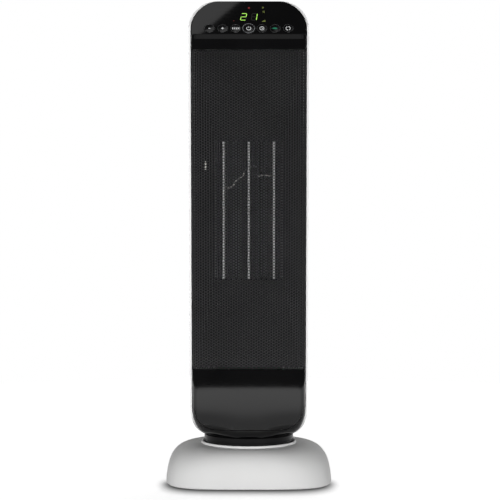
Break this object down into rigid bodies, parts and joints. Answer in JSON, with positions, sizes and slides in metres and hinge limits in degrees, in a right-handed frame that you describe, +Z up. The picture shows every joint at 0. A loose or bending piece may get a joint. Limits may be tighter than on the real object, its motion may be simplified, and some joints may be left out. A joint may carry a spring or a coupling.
{
  "type": "ceramic tower fan heater",
  "caption": "Upright ceramic fan heater: black honeycomb front and sloped key panel in a white shell that swivels on a round-cornered base.",
  "frame": {"origin": "on the floor, on the swivel axis, at the middle of the base's footprint", "axes": "+Z up along the swivel axis, -Y out of the front grille, +X to the right seen from the front"},
  "size_m": [0.2206, 0.2206, 0.64],
  "materials": {
    "shell_white": "satin white moulded plastic",
    "front_black": "glossy black moulded plastic",
    "grille_black": "satin black moulded mesh",
    "neck_black": "semi-gloss black plastic",
    "button_black": "dark grey touch surface with a thin ring",
    "button_metal": "polished ring round a dark key",
    "inner_black": "black heat-resistant plastic",
    "foot_rubber": "matt black rubber",
    "sheet_steel": "zinc-plated sheet steel",
    "iron": "plain iron weight",
    "fin_aluminium": "thin bright aluminium",
    "nylon": "natural nylon",
    "circuit": "green circuit board",
    "sensor_white": "off-white ceramic sleeve",
    "display_dark": "smoked display window"
  },
  "bodies": {
    "base": {"base_shell": "shell_white", "base_plate": "inner_black", "ballast_plate": "iron", "swivel_seat": "inner_black", "slip_ring": "nylon", "fixed_gear": "nylon", "cord_gland": "foot_rubber", "tip_switch_body": "inner_black", "foot_1": "foot_rubber", "foot_2": "foot_rubber", "foot_3": "foot_rubber", "foot_4": "foot_rubber"},
    "tower": {"air_baffle": "inner_black", "ambient_sensor": "sensor_white", "blower_bottom_plate": "sheet_steel", "blower_top_plate": "sheet_steel", "control_board": "circuit", "control_panel": "front_black", "display_module": "display_dark", "fan_motor": "sheet_steel", "fin_pack_1_left": "fin_aluminium", "fin_pack_1_right": "fin_aluminium", "fin_pack_2_left": "fin_aluminium", "fin_pack_2_right": "fin_aluminium", "fin_pack_3_left": "fin_aluminium", "fin_pack_3_right": "fin_aluminium", "front_frame": "front_black", "front_grille": "grille_black", "handle_cup": "shell_white", "heater_frame": "inner_black", "housing_screw_1": "sheet_steel", "housing_screw_2": "sheet_steel", "housing_screw_3": "sheet_steel", "housing_screw_4": "sheet_steel", "lower_cover": "front_black", "power_board": "circuit", "ptc_tube_1": "fin_aluminium", "ptc_tube_2": "fin_aluminium", "ptc_tube_3": "fin_aluminium", "rear_housing": "shell_white", "retaining_ring": "sheet_steel", "scroll_wall": "sheet_steel", "swing_motor": "sheet_steel", "swivel_collar": "neck_black", "thermal_fuse": "sheet_steel", "tongue_wall": "sheet_steel", "top_bearing": "sheet_steel"},
    "fan": {"fan_impeller": "fin_aluminium", "fan_shaft": "sheet_steel"},
    "swing_pinion": {"swing_pinion": "nylon"},
    "filter": {"filter_frame": "inner_black"},
    "tip_switch_plunger": {"tip_switch_plunger": "nylon"},
    "button_minus": {"button_minus": "button_black"},
    "button_plus": {"button_plus": "button_black"},
    "button_mode": {"button_mode": "button_black"},
    "button_power": {"button_power": "button_metal"},
    "button_timer": {"button_timer": "button_black"},
    "button_eco": {"button_eco": "button_black"},
    "button_swing": {"button_swing": "button_black"}
  },
  "joints": [
    {"name": "swivel", "type": "hinge", "parent": "base", "child": "tower", "pos_m": [0, 0, 0.0451], "axis": [0, 0, 1], "range_deg": [-35, 35]},
    {"name": "swing_pinion_turn", "type": "hinge", "parent": "tower", "child": "swing_pinion", "pos_m": [0, 0.0405, 0.047], "axis": [0, 0, 1], "range_deg": [-100.5, 100.5]},
    {"name": "fan_spin", "type": "hinge", "parent": "tower", "child": "fan", "pos_m": [0, 0.012, 0.3647], "axis": [0, 0, 1], "continuous": true},
    {"name": "filter_lift_out", "type": "slide", "parent": "tower", "child": "filter", "axis": [0, 1, 0], "range_m": [0, 0.03]},
    {"name": "tip_plunger_drop", "type": "slide", "parent": "base", "child": "tip_switch_plunger", "axis": [0, 0, 1], "range_m": [-0.004, 0]},
    {"name": "press_minus", "type": "slide", "parent": "tower", "child": "button_minus", "axis": [0, 0.7771, -0.6293], "range_m": [0, 0.0008], "stiffness_N_per_m": 600},
    {"name": "press_plus", "type": "slide", "parent": "tower", "child": "button_plus", "axis": [0, 0.7771, -0.6293], "range_m": [0, 0.0008], "stiffness_N_per_m": 600},
    {"name": "press_mode", "type": "slide", "parent": "tower", "child": "button_mode", "axis": [0, 0.7771, -0.6293], "range_m": [0, 0.0008], "stiffness_N_per_m": 600},
    {"name": "press_power", "type": "slide", "parent": "tower", "child": "button_power", "axis": [0, 0.7771, -0.6293], "range_m": [0, 0.0008], "stiffness_N_per_m": 600},
    {"name": "press_timer", "type": "slide", "parent": "tower", "child": "button_timer", "axis": [0, 0.7771, -0.6293], "range_m": [0, 0.0008], "stiffness_N_per_m": 600},
    {"name": "press_eco", "type": "slide", "parent": "tower", "child": "button_eco", "axis": [0, 0.7771, -0.6293], "range_m": [0, 0.0008], "stiffness_N_per_m": 600},
    {"name": "press_swing", "type": "slide", "parent": "tower", "child": "button_swing", "axis": [0, 0.7771, -0.6293], "range_m": [0, 0.0008], "stiffness_N_per_m": 600}
  ],
  "couplings": [
    {"joint": "swing_pinion_turn", "follows": "swivel", "ratio": 2.8571}
  ]
}
